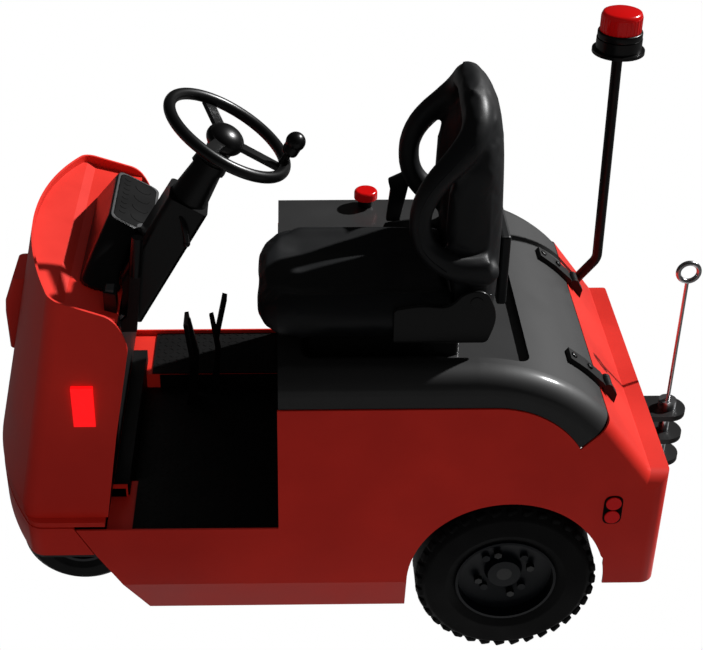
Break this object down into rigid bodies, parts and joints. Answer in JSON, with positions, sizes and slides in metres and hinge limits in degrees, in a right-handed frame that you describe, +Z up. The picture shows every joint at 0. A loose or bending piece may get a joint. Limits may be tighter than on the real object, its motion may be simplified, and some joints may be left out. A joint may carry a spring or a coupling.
{
  "type": "airport baggage tug",
  "caption": "Compact electric tow tractor with a crowned front cowl, twin steered nose wheels, a single high-backed seat on a hinged hood, a beacon pole and a stacked-plate tow hitch.",
  "frame": {"origin": "centre of the bounding box at ground level", "axes": "+X forward towards the nose, +Y to the driver's left, +Z up"},
  "size_m": [1.664, 0.832, 1.371],
  "materials": {
    "red_paint": "glossy red paint",
    "black_paint": "satin black paint",
    "hood_grey": "satin dark grey moulding",
    "black_plastic": "satin black moulding",
    "vinyl": "black seat vinyl",
    "rubber_mat": "black ribbed rubber",
    "tyre_rubber": "black solid tyre",
    "steel": "bare steel",
    "zinc": "bright plated steel",
    "red_lens": "clear red lens",
    "battery_case": "dark grey battery case"
  },
  "bodies": {
    "chassis": {"frame_rail_left": "black_paint", "frame_rail_right": "black_paint", "steering_head": "black_paint", "drive_axle": "black_paint", "floor_pan": "red_paint", "floor_mats": "rubber_mat", "body_side_left": "red_paint", "body_side_right": "red_paint", "tail_shell": "red_paint", "front_bumper": "red_paint", "front_deck": "red_paint", "cowl": "red_paint", "dash_tray": "red_paint", "kick_panel": "black_paint", "seat_bulkhead": "black_paint", "instrument_pod": "black_plastic", "column_cover": "black_plastic", "pedals": "black_paint", "parking_brake_lever": "black_paint", "switch_box": "black_plastic", "headlamp": "red_paint", "marker_lamps": "red_lens", "tail_lamps": "red_lens", "battery": "battery_case", "hitch_plates": "black_paint", "beacon_pole": "black_paint", "beacon_base": "black_plastic", "beacon_lens": "red_lens", "hinge_brackets": "black_paint"},
    "rear_wheel_left": {"rear_rim_left": "black_paint", "rear_tyre_left": "tyre_rubber"},
    "rear_wheel_right": {"rear_rim_right": "black_paint", "rear_tyre_right": "tyre_rubber"},
    "steer": {"steering_knuckle": "black_paint"},
    "front_wheels": {"front_axle": "black_paint", "front_tyre_left": "tyre_rubber", "front_tyre_right": "tyre_rubber"},
    "hand_wheel": {"steering_wheel": "black_plastic"},
    "lid": {"hood": "hood_grey", "hinge_straps": "black_paint", "seat_pan": "black_plastic", "seat_cushion": "vinyl", "seat_back": "vinyl", "seat_irons": "black_plastic", "emergency_stop": "red_lens"},
    "pin": {"hitch_pin": "zinc"}
  },
  "joints": [
    {"name": "rear_wheel_left_spin", "type": "hinge", "parent": "chassis", "child": "rear_wheel_left", "pos_m": [-0.354, 0.348, 0.2075], "axis": [0, 1, 0], "continuous": true},
    {"name": "rear_wheel_right_spin", "type": "hinge", "parent": "chassis", "child": "rear_wheel_right", "pos_m": [-0.354, -0.348, 0.2075], "axis": [0, 1, 0], "continuous": true},
    {"name": "front_steer", "type": "hinge", "parent": "chassis", "child": "steer", "pos_m": [0.656, 0, 0.3], "axis": [0, 0, 1], "range_deg": [-75, 75]},
    {"name": "front_wheel_spin", "type": "hinge", "parent": "steer", "child": "front_wheels", "pos_m": [0.656, 0, 0.14], "axis": [0, 1, 0], "continuous": true},
    {"name": "steering_wheel_turn", "type": "hinge", "parent": "chassis", "child": "hand_wheel", "pos_m": [0.264, 0.142, 1.218], "axis": [-0.515, 0, 0.8572], "range_deg": [-900, 900]},
    {"name": "hood_open", "type": "hinge", "parent": "chassis", "child": "lid", "pos_m": [-0.566, 0, 0.656], "axis": [0, -1, 0], "range_deg": [0, 60]},
    {"name": "hitch_pin_lift", "type": "slide", "parent": "chassis", "child": "pin", "axis": [0, 0, 1], "range_m": [0, 0.165]}
  ],
  "couplings": [
    {"joint": "steering_wheel_turn", "follows": "front_steer", "ratio": 12}
  ]
}
